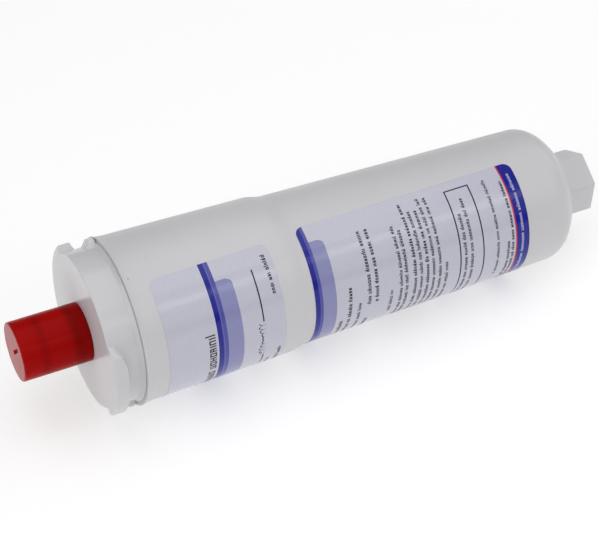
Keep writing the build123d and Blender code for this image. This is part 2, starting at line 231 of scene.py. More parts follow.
def spread(tree, value, low, high):
    """Maps the middle of a noise onto a range."""
    made = node(tree, "ShaderNodeMapRange", From_Min=0.3, From_Max=0.7, To_Min=low, To_Max=high)
    tree.links.new(value, made.inputs["Value"])
    return made.outputs["Result"]


def bump(tree, shader, height, strength, distance, before=None):
    made = node(tree, "ShaderNodeBump", Strength=strength, Distance=distance)
    tree.links.new(height, made.inputs["Height"])
    if before is not None:
        tree.links.new(before, made.inputs["Normal"])
    tree.links.new(made.outputs["Normal"], shader.inputs["Normal"])
    return made.outputs["Normal"]


def mix_colour(tree, factor, under, over):
    """Over on under by a factor link. Under and over are links or colours."""
    made = tree.nodes.new("ShaderNodeMix")
    made.data_type = "RGBA"
    tree.links.new(factor, made.inputs["Factor"])
    for socket, value in (("A", under), ("B", over)):
        target = [s for s in made.inputs if s.name == socket and s.type == "RGBA"][0]
        if hasattr(value, "is_linked"):
            tree.links.new(value, target)
        else:
            target.default_value = (*value, 1)
    return [s for s in made.outputs if s.type == "RGBA"][0]


def specks(tree, vector, cell_scale, size, share):
    """Mask of sparse round specks, one in some of the cells."""
    cells = node(tree, "ShaderNodeTexVoronoi", Scale=cell_scale, Randomness=1.0)
    tree.links.new(vector, cells.inputs["Vector"])
    near = node(
        tree, "ShaderNodeMapRange", From_Min=size, From_Max=size * 0.55, To_Min=0.0, To_Max=1.0,
    )
    tree.links.new(cells.outputs["Distance"], near.inputs["Value"])
    split = tree.nodes.new("ShaderNodeSeparateColor")
    tree.links.new(cells.outputs["Color"], split.inputs["Color"])
    chosen = tree.nodes.new("ShaderNodeMath")
    chosen.operation = "LESS_THAN"
    chosen.inputs[1].default_value = share
    tree.links.new(split.outputs["Red"], chosen.inputs[0])
    both = tree.nodes.new("ShaderNodeMath")
    both.operation = "MULTIPLY"
    tree.links.new(near.outputs["Result"], both.inputs[0])
    tree.links.new(chosen.outputs["Value"], both.inputs[1])
    return both.outputs["Value"]


def moulded_white(name, colour, rough_low, rough_high):
    """Satin moulded plastic: faint tone drift, fine grain, a few dark specks."""
    material, tree, shader = principled(
        name, colour, IOR=1.49, Subsurface_Weight=0.08, Subsurface_Scale=0.002,
    )
    shader.inputs["Subsurface Radius"].default_value = (1.0, 0.9, 0.8)
    space = object_space(tree)
    drift = ramp(
        tree, noise(tree, space, 14.0, 2.0),
        (0.35, tuple(c * 0.975 for c in colour)), (0.65, tuple(min(1, c * 1.015) for c in colour)),
    )
    speck = specks(tree, space, 70.0, 0.028, 0.42)
    fine_speck = specks(tree, space, 260.0, 0.06, 0.10)
    spotted = mix_colour(tree, speck, drift, (0.16, 0.15, 0.14))
    spotted = mix_colour(tree, fine_speck, spotted, tuple(c * 0.72 for c in colour))
    tree.links.new(spotted, shader.inputs["Base Color"])
    wear = spread(tree, noise(tree, space, 45.0, 4.0), rough_low, rough_high)
    tree.links.new(wear, shader.inputs["Roughness"])
    coarse = bump(tree, shader, noise(tree, space, 60.0, 1.0), 0.03, 0.0002)
    bump(tree, shader, noise(tree, space, 1400.0, 2.0, 0.5), 0.10, 0.00002, before=coarse)
    return material


def cap_red():
    """Glossy, slightly translucent red, with painted shade in bands where the stem's O-rings sit
    behind the wall and at the mouth against the head's face.
    """
    red = (0.37, 0.0030, 0.0026)
    deep_red = (0.34, 0.0028, 0.0024)
    shaded_red = (0.13, 0.0018, 0.0018)
    # Painted shade bands: two where the O-rings show dark through the wall, one at the mouth next
    # to the head's face. Distance out from the head's face, half width and depth of each darker
    # band.
    painted_shade_bands = ((5.9, 3.0, 0.55), (21.2, 2.4, 0.30), (0.8, 3.5, 0.35))
    material, tree, shader = principled(
        "cap_red", red, IOR=1.45, Subsurface_Weight=0.15, Subsurface_Scale=0.002,
    )
    shader.inputs["Subsurface Radius"].default_value = (1.0, 0.06, 0.04)
    space = object_space(tree)
    split = tree.nodes.new("ShaderNodeSeparateXYZ")
    tree.links.new(space, split.inputs["Vector"])
    colour = ramp(tree, noise(tree, space, 60.0, 3.0), (0.3, deep_red), (0.7, red))
    for out, width, depth in painted_shade_bands:
        offset = tree.nodes.new("ShaderNodeMath")
        offset.operation = "SUBTRACT"
        offset.inputs[1].default_value = (FACE_X - out) * MM
        tree.links.new(split.outputs["X"], offset.inputs[0])
        away = tree.nodes.new("ShaderNodeMath")
        away.operation = "ABSOLUTE"
        tree.links.new(offset.outputs["Value"], away.inputs[0])
        band = node(
            tree, "ShaderNodeMapRange",
            From_Min=width * 1.5 * MM, From_Max=0.0, To_Min=0.0, To_Max=depth,
        )
        band.interpolation_type = "SMOOTHERSTEP"
        tree.links.new(away.outputs["Value"], band.inputs["Value"])
        # Painted shade: each band darkens the base colour towards shaded_red.
        colour = mix_colour(tree, band.outputs["Result"], colour, shaded_red)
    tree.links.new(colour, shader.inputs["Base Color"])
    # The closed end is shinier than the drawn side wall.
    shine = node(
        tree, "ShaderNodeMapRange",
        From_Min=(CAP_END_X + 0.2) * MM, From_Max=(CAP_END_X + 0.8) * MM,
        To_Min=0.14, To_Max=0.04,
    )
    tree.links.new(split.outputs["X"], shine.inputs["Value"])
    tree.links.new(shine.outputs["Result"], shader.inputs["Specular IOR Level"])
    wear = spread(tree, noise(tree, space, 90.0, 3.0), 0.19, 0.265)
    tree.links.new(wear, shader.inputs["Roughness"])
    bump(tree, shader, noise(tree, space, 700.0, 4.0), 0.06, 0.00005)
    return material


def film(name, colour, gloss=0.28):
    """Glossy label stock with faint print mottle and a slightly uneven surface."""
    material, tree, shader = principled(
        name, colour, IOR=1.5, Specular_IOR_Level=gloss, Coat_Weight=0.08, Coat_Roughness=0.08,
    )
    space = object_space(tree)
    mottle = ramp(
        tree, noise(tree, space, 900.0, 4.0, 0.7),
        (0.3, tuple(c * 0.96 for c in colour)), (0.7, tuple(min(1, c * 1.03) for c in colour)),
    )
    tree.links.new(mottle, shader.inputs["Base Color"])
    wear = spread(tree, noise(tree, space, 70.0, 3.0), 0.13, 0.20)
    tree.links.new(wear, shader.inputs["Roughness"])
    bump(tree, shader, noise(tree, space, 120.0, 2.0), 0.05, 0.0002)
    return material


def rubber(name, colour):
    """Satin black rubber with a faint grey bloom."""
    material, tree, shader = principled(name, colour, IOR=1.52)
    space = object_space(tree)
    bloom = ramp(
        tree, noise(tree, space, 300.0, 4.0),
        (0.35, colour), (0.75, tuple(c + 0.018 for c in colour)),
    )
    tree.links.new(bloom, shader.inputs["Base Color"])
    wear = spread(tree, noise(tree, space, 400.0, 3.0), 0.35, 0.55)
    tree.links.new(wear, shader.inputs["Roughness"])
    bump(tree, shader, noise(tree, space, 1500.0, 4.0), 0.12, 0.00005)
    return material


def granular(name, colour, grain, strength):
    """Pressed granules, fleece or netting stock, by its grain size."""
    material, tree, shader = principled(name, colour)
    space = object_space(tree)
    cells = node(tree, "ShaderNodeTexVoronoi", Scale=grain, Randomness=1.0)
    tree.links.new(space, cells.inputs["Vector"])
    tone = ramp(
        tree, cells.outputs["Distance"],
        (0.1, tuple(min(1, c * 1.25) for c in colour)), (0.8, tuple(c * 0.7 for c in colour)),
    )
    tree.links.new(tone, shader.inputs["Base Color"])
    wear = spread(tree, noise(tree, space, grain / 3, 3.0), 0.6, 0.9)
    tree.links.new(wear, shader.inputs["Roughness"])
    bump(tree, shader, cells.outputs["Distance"], strength, 0.0003)
    return material


housing_white = moulded_white("housing_white", (0.602, 0.599, 0.608), 0.33, 0.44)
head_white = moulded_white("head_white", (0.602, 0.599, 0.608), 0.20, 0.265)
red_plastic = cap_red()
lavender_film = film("lavender_film", (0.54, 0.538, 0.624), gloss=0.5)
navy_ink = film("navy_ink", (0.009, 0.012, 0.25))
royal_ink = film("royal_ink", (0.078, 0.080, 0.35))
block_ink = film("block_ink", (0.25, 0.255, 0.46), gloss=0.4)
black_ink = film("black_ink", (0.022, 0.022, 0.035))
red_ink = film("red_ink", (0.55, 0.03, 0.05))
pale_ink = film("pale_ink", (0.46, 0.46, 0.72))
pale_line = film("pale_line", (0.16, 0.16, 0.45))
seal_black = rubber("seal_black", (0.022, 0.022, 0.024))


# ================================================================ housing
def bell(x):
    return BELL_RADIUS - DRAFT * (x - SEAM_X)


def rear(x):
    return REAR_RADIUS - DRAFT * (x - SEAM_X)


def step(t):
    """Outside radius through the ogee between bell and rear section, t from 0 to 1."""
    x = SEAM_X + BELL_END + (REAR_START - BELL_END) * t
    return x, bell(x) + (rear(x) - bell(x)) * smooth(t)


def hex_reach(clock):
    """Radius of a hexagon with rounded corners at a clock angle."""
    sixth = TAU / 6
    local = (clock - math.radians(HEX_CLOCK)) % sixth - sixth / 2
    inradius = HEX_FLATS / 2
    core = inradius - HEX_CORNER
    side = core * math.tan(sixth / 2)
    reach = inradius / math.cos(local)
    if abs(reach * math.sin(local)) <= side:
        return reach
    # On the rounded corner: meet the circle about the core hexagon's vertex.
    centre = core / math.cos(sixth / 2)
    away = sixth / 2 - abs(local)
    return centre * math.cos(away) + math.sqrt(HEX_CORNER ** 2 - (centre * math.sin(away)) ** 2)


def build_housing():
    columns = 288
    clocks = even_clocks(columns, math.radians(HEX_CLOCK))
    rings = []

    def add(x, radius):
        rings.append(round_ring(x, radius, columns))

    # Rim: a flat front and a flare that fades into the bell.
    add(RIM_X, MOUTH_RADIUS)
    add(RIM_X, 36.4)
    add(RIM_X, 37.6)
    for x, r in arc(RIM_X + RIM_EDGE, bell(RIM_X) + RIM_BULGE - RIM_EDGE, RIM_EDGE, 180, 90, 6):
        add(x, r)
    for i in range(1, 17):
        t = (i / 16) ** 1.5
        x = RIM_X + RIM_EDGE + (RIM_FADE - RIM_EDGE) * t
        add(x, bell(x) + RIM_BULGE * (0.6 * math.exp(-9 * t) + 0.4 * (1 - smooth(t))))
    for i in range(1, 5):
        x = RIM_X + RIM_FADE + (SEAM_X + BELL_END - RIM_X - RIM_FADE) * i / 4
        add(x, bell(x))
    for i in range(1, 21):
        add(*step(i / 20))
    for i in range(1, 7):
        x = SEAM_X + REAR_START + (REAR_END - REAR_START) * i / 6
        add(x, rear(x))
    # Dome: corner arc, then the flatter crown tangent to it.
    end_x = SEAM_X + REAR_END
    corner_r = rear(end_x) - DOME_CORNER
    crown_x = end_x - math.sqrt((DOME_CROWN - DOME_CORNER) ** 2 - corner_r ** 2)
    join = math.degrees(math.asin(corner_r / (DOME_CROWN - DOME_CORNER)))
    for x, r in arc(end_x, corner_r, DOME_CORNER, 90, join, 18)[1:]:
        add(x, r)
    foot = math.degrees(math.asin(CROWN_FOOT / DOME_CROWN))
    for x, r in arc(crown_x, 0, DOME_CROWN, join, foot, 8)[1:]:
        add(x, r)

    # Fillet from the crown into the hex boss, then the boss with rounded edges.
    def crown_at(radius):
        return crown_x + math.sqrt(DOME_CROWN ** 2 - radius ** 2)

    reach = [hex_reach(clock) for clock in clocks]
    for t in (0.0, 0.12, 0.3, 0.5, 0.7, 0.88, 1.0):
        ring = []
        for value in reach:
            out = HEX_FILLET * (1 - math.sin(t * math.pi / 2))
            rise = HEX_FILLET * (1 - math.cos(t * math.pi / 2))
            ring.append((crown_at(value + out) + rise, value + out))
        rings.append(ring)
    rings.append([(-6.0, value) for value in reach])
    for t in (0.0, 0.25, 0.5, 0.75, 1.0):
        back = HEX_EDGE * (1 - math.sin(t * math.pi / 2))
        inward = HEX_EDGE * (1 - math.cos(t * math.pi / 2))
        rings.append([(-back, value - inward) for value in reach])
    rings.append([(0.0, HEX_END_RING + (value - HEX_END_RING) * 0.35) for value in reach])
    # Mouth of the port: lead-in chamfer, then a right-hand pipe thread.
    add(0.0, PORT_ROOT + 1.3)
    add(0.0, PORT_ROOT + 0.75)
    add(-0.75, PORT_ROOT)
    turns_from = -1.3
    turns_to = -PORT_DEPTH + 1.2
    for k in range(THREAD_STEPS + 1):
        x = turns_from + (turns_to - turns_from) * k / THREAD_STEPS
        fade = smooth((turns_from - x) / THREAD_FADE) * smooth((x - turns_to) / THREAD_FADE)
        ring = []
        for clock in clocks:
            phase = (x / THREAD_PITCH + clock / TAU) % 1.0
            tooth = max(0.0, min(1.0, 1.25 - abs(2 * phase - 1) * 1.5))
            ring.append((x, PORT_ROOT - (PORT_ROOT - PORT_CREST) * tooth * fade))
        rings.append(ring)
    add(-PORT_DEPTH, PORT_ROOT)
    # Passage, outlet socket, then the inside of the shell back to the rim.
    add(-PORT_DEPTH, PASSAGE)
    add(-SOCKET_FROM, PASSAGE)
    add(-SOCKET_FROM, SOCKET_RADIUS)
    add(-SOCKET_TO, SOCKET_RADIUS)
    add(-SOCKET_TO, SOCKET_WALL_RADIUS)
    inner_crown = DOME_CROWN - WALL
    root = math.degrees(math.asin(SOCKET_WALL_RADIUS / inner_crown))
    for x, r in arc(crown_x, 0, inner_crown, root, join, 6):
        add(x, r)
    for x, r in arc(end_x, corner_r, DOME_CORNER - WALL, join, 90, 10)[1:]:
        add(x, r)
    for i in range(10, -1, -1):
        x, r = step(i / 10)
        add(x, r - WALL)
    ledge_x = SEAM_X + INNER_LEDGE
    add(ledge_x, bell(ledge_x) - WALL - 0.8)
    add(ledge_x, MOUTH_RADIUS)
    bm = bmesh.new()
    polar_loft(bm, rings, clocks)
    return finish_mesh("housing_shell", bm, 38.0)


housing = build_housing()
housing.data.materials.append(housing_white)
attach(housing, "filter")
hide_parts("housing")


# ================================================================ head
# Clock angles in degrees where a raised sector starts, is full, stops being full and ends.
LUG_SECTOR = (63.5, 71.0, 134.4, 135.2)
STOP_SECTOR = (-38.0, -33.2, -26.8, -22.0)
# Clock angle in degrees and width of a lug along its ramp.
LEAD_IN = (
    (58.0, 6.0), (62.5, 0.9), (67.5, 2.6), (71.8, 4.5), (76.3, 5.4), (80.0, 5.9), (84.0, 6.0),
)
# Back flank of a lug: distance behind its width, share of its height.
LUG_BACK = (
    (-0.12, 0.992), (0.08, 0.95), (0.25, 0.86), (LUG_FLANK - 0.3, 0.20), (LUG_FLANK, 0.08),
    (LUG_FLANK + 0.35, 0.02), (LUG_FLANK + 0.75, 0.0),
)
# Back of the collar: distance from the seam, share of the stop blocks, share of the weld ring.
COLLAR_BACK = (
    (-6.3, 0.0, 0.0), (-5.85, 0.04, 0.0), (-5.45, 0.16, 0.0), (-4.0, 0.80, 0.0),
    (-3.6, 0.94, 0.0), (-3.1, 1.0, 0.0), (-2.3, 1.0, 0.0), (-1.8, 1.0, 0.02),
    (-1.45, 1.0, 0.14), (-1.1, 1.0, 0.38), (-0.8, 0.98, 0.60), (-0.64, 0.9, 0.70),
    (-0.6, 0.0, 0.73), (-0.4, 0.0, 0.87), (-0.22, 0.0, 0.96), (-0.1, 0.0, 1.0),
    (0.0, 0.0, 0.97),
)


def sector(degrees, start, full, full_end, end, rounding):
    """Height share of a raised sector: ramps from start to full, drops from full_end to end."""
    rise = (degrees - start) / (full - start)
    fall = (end - degrees) / (end - full_end)
    share = max(0.0, min(1.0, rise, fall))
    return share * (1 - rounding) + smooth(share) * rounding


def lug_share(degrees):
    return sector(degrees % 180, *LUG_SECTOR, 0.35)


def lug_width(degrees):
    """Width of a lug from the face to its back edge. Behind its ramp it widens from a point."""
    degrees = degrees % 180
    for (a, width_a), (b, width_b) in zip(LEAD_IN, LEAD_IN[1:]):
        if a <= degrees <= b:
            return width_a + (width_b - width_a) * (degrees - a) / (b - a)
    return LUG_WIDTH


def stop_share(degrees):
    return sector((degrees + 60) % 180 - 60, *STOP_SECTOR, 0.6)


def head_clocks():
    """Clock angles in degrees, closer together where a lug or stop block begins or ends."""
    marks = set(range(0, 360, 2))
    for half in (0, 180):
        for start, stop, pitch in ((58, 85, 0.5), (133.8, 135.8, 0.2), (141, 159, 0.5)):
            count = round((stop - start) / pitch)
            marks.update(round((start + pitch * i + half) % 360, 3) for i in range(count + 1))
    return sorted(marks)


def build_head():
    degrees = head_clocks()
    clocks = [math.radians(d) for d in degrees]
    columns = len(degrees)
    lugs = [lug_share(d) for d in degrees]
    stops = [stop_share(d if d < 180 else d - 360) for d in degrees]
    rings = []

    def add(x, radius):
        rings.append(round_ring(x, radius, columns))

    # Stem: bore mouth, chamfered tip, two O-ring grooves.
    add(FACE_X + 4.0, STEM_BORE)
    add(STEM_TIP_X + 0.5, STEM_BORE)
    add(STEM_TIP_X, STEM_BORE + 0.5)
    tip, foot = STEM_TIP_ROUND, STEM_FOOT_ROUND
    for x, r in arc(STEM_TIP_X + tip, STEM_RADIUS - tip, tip, 180, 90, 8):
        add(x, r)
    for out in O_RING_STATIONS:
        front, back = FACE_X - out - GROOVE_HALF, FACE_X - out + GROOVE_HALF
        add(front - GROOVE_BREAK, STEM_RADIUS)
        add(front, STEM_RADIUS - 0.12)
        add(front, GROOVE_RADIUS)
        add(back, GROOVE_RADIUS)
        add(back, STEM_RADIUS - 0.12)
        add(back + GROOVE_BREAK, STEM_RADIUS)
    add(FACE_X - foot, STEM_RADIUS)
    for x, r in arc(FACE_X - foot, STEM_RADIUS + foot, foot, 270, 360, 5)[1:]:
        add(x, r)
    add(FACE_X, 15.0)
    add(FACE_X, 24.0)
    add(FACE_X, 31.0)
    # Rounded rim of the face: a small edge on the collar, a fuller nose on the lugs.
    rim = [COLLAR + (LUG_RADIUS - COLLAR) * share for share in lugs]
    nose = [FACE_EDGE + (LUG_NOSE - FACE_EDGE) * share for share in lugs]
    rings.append([(FACE_X, value - size - 1.0) for value, size in zip(rim, nose)])
    for i in range(9):
        a = math.pi / 2 * i / 8
        rings.append([
            (FACE_X + size * (1 - math.cos(a)), value - size * (1 - math.sin(a)))
            for value, size in zip(rim, nose)
        ])
    # Back edge and flank of the lugs, with rounded edges, then the collar.
    widths = [lug_width(d) for d in degrees]
    for run in (0.35, 0.8):
        rings.append([
            (FACE_X + size + (width - size) * run, value)
            for value, size, width in zip(rim, nose, widths)
        ])
    for x, share in LUG_BACK:
        rings.append([
            (FACE_X + width + x, COLLAR + (LUG_RADIUS - COLLAR) * lug * share)
            for lug, width in zip(lugs, widths)
        ])
    # Stop blocks, and the weld ring's slope up to the seam.
    for x, share, ring_share in COLLAR_BACK:
        ring = []
        for stop in stops:
            ring_r = COLLAR + (WELD_RING - COLLAR) * ring_share
            block_r = COLLAR + (STOP_RADIUS - COLLAR) * stop * share
            ring.append((SEAM_X + x, max(ring_r, block_r)))
        rings.append(ring)
    # Spigot inside the housing, then the inner face.
    add(SEAM_X, SPIGOT_RADIUS)
    add(SEAM_X + SPIGOT_LENGTH - 0.4, SPIGOT_RADIUS)
    add(SEAM_X + SPIGOT_LENGTH, SPIGOT_RADIUS - 0.4)
    add(SEAM_X + SPIGOT_LENGTH, SPIGOT_RADIUS - 3.0)
    add(FACE_X + 5.2, 30.9)
    add(FACE_X + 4.0, 29.7)
    bm = bmesh.new()
    polar_loft(bm, rings, clocks)
    return finish_mesh("head_moulding", bm, 20.0)


head = build_head()
head.data.materials.append(head_white)
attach(head, "filter")
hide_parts("head_cap")


# ================================================================ shipping cap
def build_cap():
    inner = CAP_RADIUS - CAP_WALL
    floor_x = CAP_END_X + CAP_FLOOR
    # Close rings over the closed end carry the slot.
    profile = [(CAP_END_X, 0.02)]
    profile += [(CAP_END_X, 0.3 + 0.35 * i) for i in range(31)]
    profile += [(CAP_END_X, CAP_RADIUS - 1.4)]
    profile += arc(CAP_END_X + CAP_EDGE, CAP_RADIUS - CAP_EDGE, CAP_EDGE, 180, 90, 9)
    profile += [(CAP_END_X + 2.2, CAP_RADIUS)]
    profile += [(CAP_MOUTH_X - 1.6, CAP_RADIUS), (CAP_MOUTH_X - CAP_LIP - 0.1, CAP_RADIUS)]
    profile += arc(CAP_MOUTH_X - CAP_LIP, CAP_RADIUS - CAP_LIP, CAP_LIP, 90, 0, 5)
    profile += [(CAP_MOUTH_X, inner + 0.35), (CAP_MOUTH_X - 0.35, inner)]
    profile += [(floor_x + 1.2, inner), (floor_x, inner - 1.2), (floor_x, 0.02)]
    piece = lathe("shipping_cap_red", profile, columns=160, sharp_degrees=50.0)
    # A short slot in the closed end runs from its middle towards the rim.
    for vertex in piece.data.vertices:
        if vertex.co.x < (CAP_END_X + 0.01) * MM:
            along = (vertex.co.z - vertex.co.y) / math.sqrt(2) / MM
            across = (vertex.co.z + vertex.co.y) / math.sqrt(2) / MM
            share = min(1.0, max(0.0, (along + 1.0) / 0.4), max(0.0, (SLOT_LENGTH - along) / 0.6))
            share *= min(1.0, max(0.0, (SLOT_WIDTH - abs(across)) / 0.4))
            vertex.co.x += SLOT_DEPTH * MM * max(0.0, share)
    return piece


cap = build_cap()
cap.data.materials.append(red_plastic)
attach(cap, "cap")
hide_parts("shipping_cap")


# ================================================================ labels
class Label:
    """A flat sheet with rounded corners, laid on the tapered wall without stretch.

    Flat coordinates in millimetres: p runs from the sheet's front edge towards the port and
    q from its upper edge round the wall. The sheet follows the cone's development, turned by
    a small tilt, since it was stuck on by hand.
    """

    def __init__(self, radius_at, front, length, upper_clock, width, corner, tilt):
        self.front_x = SEAM_X + front
        self.radius_at = radius_at
        self.length = length
        self.width = width
        self.corner = corner
        self.tilt = tilt
        self.front_radius = radius_at(self.front_x)
        self.slant = self.front_radius / DRAFT
        self.middle_clock = math.radians(upper_clock) + width / 2 / self.front_radius

    def point(self, p, q, lift):
        turned_p = p - q * self.tilt
        turned_q = q + p * self.tilt
        across = turned_q - self.width / 2
        along = self.slant - turned_p
        clock = self.middle_clock + math.atan2(across, along) / DRAFT
        x = self.front_x + self.slant - math.hypot(along, across)
        return place(x, self.radius_at(x) + lift, clock)

    def front_edge(self, q):
        return self.corner_inset(q)

    def back_edge(self, q):
        return self.length - self.corner_inset(q)

    def corner_inset(self, q):
        """How far the rounded corners pull the sheet's ends in at a distance q from its edge."""
        gap = min(q, self.width - q)
        if gap >= self.corner:
            return 0.0
        return self.corner - math.sqrt(max(0.0, self.corner ** 2 - (self.corner - gap) ** 2))

    def rows(self, start, stop):
        """Row positions, close together where a corner curves."""
        count = max(2, round((stop - start) / 1.2))
        marks = {start, stop}
        marks.update(start + (stop - start) * i / count for i in range(count + 1))
        for i in range(1, 9):
            near = self.corner * (1 - math.cos(math.pi / 2 * i / 8))
            marks.update(m for m in (near, self.width - near) if start < m < stop)
        return sorted(marks)


def add_sheet(bm, label, rows, left, right, low, high, columns=6):
    """Thin closed sheet between two edge functions of q, from one lift to another."""
    grid = []
    for q in rows:
        a, b = left(q), right(q)
        line = []
        for i in range(columns + 1):
            p = a + (b - a) * i / columns
            line.append([bm.verts.new(label.point(p, q, lift)) for lift in (high, low)])
        grid.append(line)
    count = len(grid)
    for j in range(count - 1):
        for i in range(columns):
            a, b, c, d = grid[j][i], grid[j][i + 1], grid[j + 1][i + 1], grid[j + 1][i]
            bm.faces.new((a[0], b[0], c[0], d[0]))
            bm.faces.new((d[1], c[1], b[1], a[1]))
        for i, order in ((0, 1), (columns, -1)):
            a, b = grid[j][i], grid[j + 1][i]
            bm.faces.new((a[0], b[0], b[1], a[1])[::order])
    for j, order in ((0, -1), (count - 1, 1)):
        for i in range(columns):
            a, b = grid[j][i], grid[j][i + 1]
            bm.faces.new((a[0], b[0], b[1], a[1])[::order])


def label_piece(name, bm, material):
    """A finished piece of the labels' film or print."""
    piece = finish_mesh(name, bm, 50.0)
    piece.data.materials.append(material)
    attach(piece, "filter")
    return piece


def sheet_piece(name, label, material, parts, low, high, columns=6):
    """One printed colour of a label: parts are (q from, q to, left edge, right edge)."""
    bm = bmesh.new()
    for start, stop, left, right in parts:
        add_sheet(bm, label, label.rows(start, stop), left, right, low, high, columns)
    return label_piece(name, bm, material)


# Height over the wall of each layer's face.
FILM_LOW = 0.015
FILM_TOP = 0.14
INK_TOP = 0.152
TEXT_TOP = 0.164

LABEL_WIDTH = 127.0
LABEL_CORNER = 3.8
front_label = Label(bell, 11.1, 55.6, 28.6, LABEL_WIDTH, LABEL_CORNER, 0.006)
rear_label = Label(rear, 82.35, 110.7, 21.1, LABEL_WIDTH, LABEL_CORNER, 0.016)


def straight(value):
    return lambda q: value


def rounded_top(value, start, corner):
    """Edge at a fixed p, with a quarter circle where it meets q = start."""
    def edge(q):
        gap = q - start
        if gap >= corner:
            return value
        return value - corner + math.sqrt(max(0.0, corner ** 2 - (corner - gap) ** 2))
    return edge


front_film = sheet_piece(
    "front_label_film", front_label, lavender_film,
    [(0.0, LABEL_WIDTH, front_label.front_edge, front_label.back_edge)],
    FILM_LOW, FILM_TOP, 10,
)
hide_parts("front_label")
rear_film = sheet_piece(
    "rear_label_film", rear_label, lavender_film,
    [(0.0, LABEL_WIDTH, rear_label.front_edge, rear_label.back_edge)],
    FILM_LOW, FILM_TOP, 16,
)
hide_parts("rear_label")

# Front label: navy stripe, royal stripe with a fine pale line, pale blue block.
FRONT_STRIPE = 23.1
STRIPE_WIDTH = 2.3
FRONT_ROYAL = FRONT_STRIPE + STRIPE_WIDTH
FRONT_ROYAL_END = FRONT_ROYAL + STRIPE_WIDTH
FINE_LINE = FRONT_ROYAL + 0.3
FINE_LINE_END = FINE_LINE + 0.25
FRONT_BLOCK_Q = 9.4
FRONT_BLOCK_END = 35.1
FRONT_BLOCK_CORNER = 2.6
sheet_piece(
    "front_stripe_navy", front_label, navy_ink,
    [(0.0, LABEL_WIDTH, straight(FRONT_STRIPE), straight(FRONT_ROYAL))],
    FILM_TOP, INK_TOP, 2,
)
sheet_piece(
    "front_stripe_royal", front_label, royal_ink,
    [(0.0, LABEL_WIDTH, straight(FRONT_ROYAL), straight(FRONT_ROYAL_END))],
    FILM_TOP, INK_TOP, 2,
)
sheet_piece(
    "front_stripe_line", front_label, pale_line,
    [(0.0, LABEL_WIDTH, straight(FINE_LINE), straight(FINE_LINE_END))],
    INK_TOP, TEXT_TOP, 1,
)
sheet_piece(
    "front_block", front_label, block_ink,
    [(FRONT_BLOCK_Q, LABEL_WIDTH - FRONT_BLOCK_Q, straight(FRONT_ROYAL_END),
      rounded_top(FRONT_BLOCK_END, FRONT_BLOCK_Q, FRONT_BLOCK_CORNER))],
    FILM_TOP, INK_TOP, 4,
)

# Rear label: stripes follow the rounded front edge, a navy band ends the label.
REAR_ROYAL = 2.3
REAR_ROYAL_END = 3.8
REAR_BLOCK_Q = 8.0
REAR_BLOCK_END = 10.5
REAR_BLOCK_CORNER = 2.4
RED_LINE = 103.5
NAVY_BAND = 104.2


def rear_stripe_edge(value):
    return lambda q: max(rear_label.front_edge(q), value)


sheet_piece(
    "rear_stripe_navy", rear_label, navy_ink,
    [(0.0, LABEL_WIDTH, rear_label.front_edge, rear_stripe_edge(REAR_ROYAL))],
    FILM_TOP, INK_TOP, 2,
)
sheet_piece(
    "rear_stripe_royal", rear_label, royal_ink,
    [(0.0, LABEL_WIDTH, rear_stripe_edge(REAR_ROYAL), rear_stripe_edge(REAR_ROYAL_END))],
    FILM_TOP, INK_TOP, 2,
)
sheet_piece(
    "rear_block", rear_label, block_ink,
    [(REAR_BLOCK_Q, LABEL_WIDTH - REAR_BLOCK_Q, straight(REAR_ROYAL_END),
      rounded_top(REAR_BLOCK_END, REAR_BLOCK_Q, REAR_BLOCK_CORNER))],
    FILM_TOP, INK_TOP, 4,
)
sheet_piece(
    "rear_red_line", rear_label, red_ink,
    [(0.0, LABEL_WIDTH, straight(RED_LINE), straight(NAVY_BAND))],
    FILM_TOP, INK_TOP, 1,
)
sheet_piece(
    "rear_band_navy", rear_label, navy_ink,
    [(0.0, LABEL_WIDTH, straight(NAVY_BAND), rear_label.back_edge)],
    FILM_TOP, INK_TOP, 4,
)


# ---------------------------------------------------------------- greeked print
# Rows of small upright strokes that stand for print without being letters. A row is read
# towards the label's upper edge, so its strokes stand across the axis.
def add_bar(bm, label, p0, p1, q0, q1):
    count = 1 if q1 - q0 < 1.5 else round(q1 - q0)
    rows = [q0 + (q1 - q0) * i / count for i in range(count + 1)]
    add_sheet(bm, label, rows, straight(p0), straight(p1), FILM_TOP, TEXT_TOP, 1)


def greek_row(bm, label, base, height, q_from, q_to, advance, weight, rng):
    """A row of word-like groups of strokes that rise to lower p from the foot line at base."""
    stem = advance * weight
    x_height = height * 0.68
    q = q_from
    while q < q_to - advance:
        for _ in range(rng.randint(3, 9)):
            if q > q_to - advance:
                break
            wide = advance * rng.choice((0.5, 0.9, 1.0, 1.0, 1.1))
            tall = rng.choice((x_height, x_height, x_height, height))
            add_bar(bm, label, base - tall, base, q, q + stem)
            if wide > advance * 0.6:
                far = q + wide - stem * 0.9
                add_bar(bm, label, base - x_height, base, far - stem, far)
                for level in rng.sample((0.0, 0.5, 1.0), rng.choice((1, 2, 2))):
                    foot = base - (x_height - stem) * level
                    add_bar(bm, label, foot - stem, foot, q + stem, far - stem)
            q += wide
        q += advance * 0.7


def print_piece(name, label, material, rows, seed):
    bm = bmesh.new()
    rng = random.Random(seed)
    for row in rows:
        greek_row(bm, label, *row, rng)
    label_piece(name, bm, material)


# Foot line, height, from, to, advance, stroke weight. Full rows stop short of the lower edge.
FULL = LABEL_WIDTH - 6.0
FRONT_PRINT_SEED = 11
REAR_PRINT_SEED = 23
BAND_PRINT_SEED = 5
front_rows = [
    (53.0, 2.1, 4.8, 22.8, 1.45, 0.29),
    (21.9, 4.7, 31.5, FULL, 2.8, 0.23),
    (49.2, 1.9, 60.0, FULL, 1.3, 0.28),
    (53.6, 1.9, 52.0, FULL, 1.3, 0.28),
]
print_piece("front_label_print", front_label, black_ink, front_rows, FRONT_PRINT_SEED)

